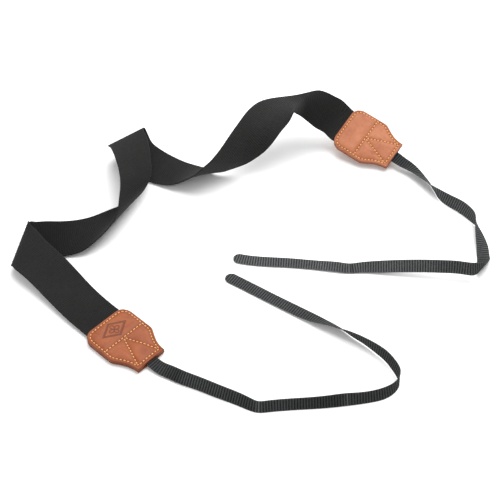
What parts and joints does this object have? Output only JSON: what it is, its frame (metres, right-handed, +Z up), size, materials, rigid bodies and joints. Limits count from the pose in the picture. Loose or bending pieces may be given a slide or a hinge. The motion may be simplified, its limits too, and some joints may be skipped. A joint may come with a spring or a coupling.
{
  "type": "camera strap",
  "caption": "Worn camera strap lying loosely coiled: wide woven webbing with folds and a ridge, stitched leather tabs, and thin webbing ties with rounded free ends.",
  "frame": {"origin": "middle of the strap's bounding box, on the floor it lies on", "axes": "+Z up from the floor, +Y away from the viewer of the picture, +X to the picture's right"},
  "size_m": [0.4296, 0.3502, 0.0533],
  "materials": {
    "black_webbing": "woven, matt",
    "black_tie": "ribbed, matt",
    "tan_leather": "smooth grain, satin"
  },
  "bodies": {
    "root": {"neck_webbing": "black_webbing", "leather_front_near": "tan_leather", "leather_back_near": "tan_leather", "leather_front_far": "tan_leather", "leather_back_far": "tan_leather", "tie_strap_near": "black_tie", "tie_strap_far": "black_tie"}
  },
  "joints": []
}
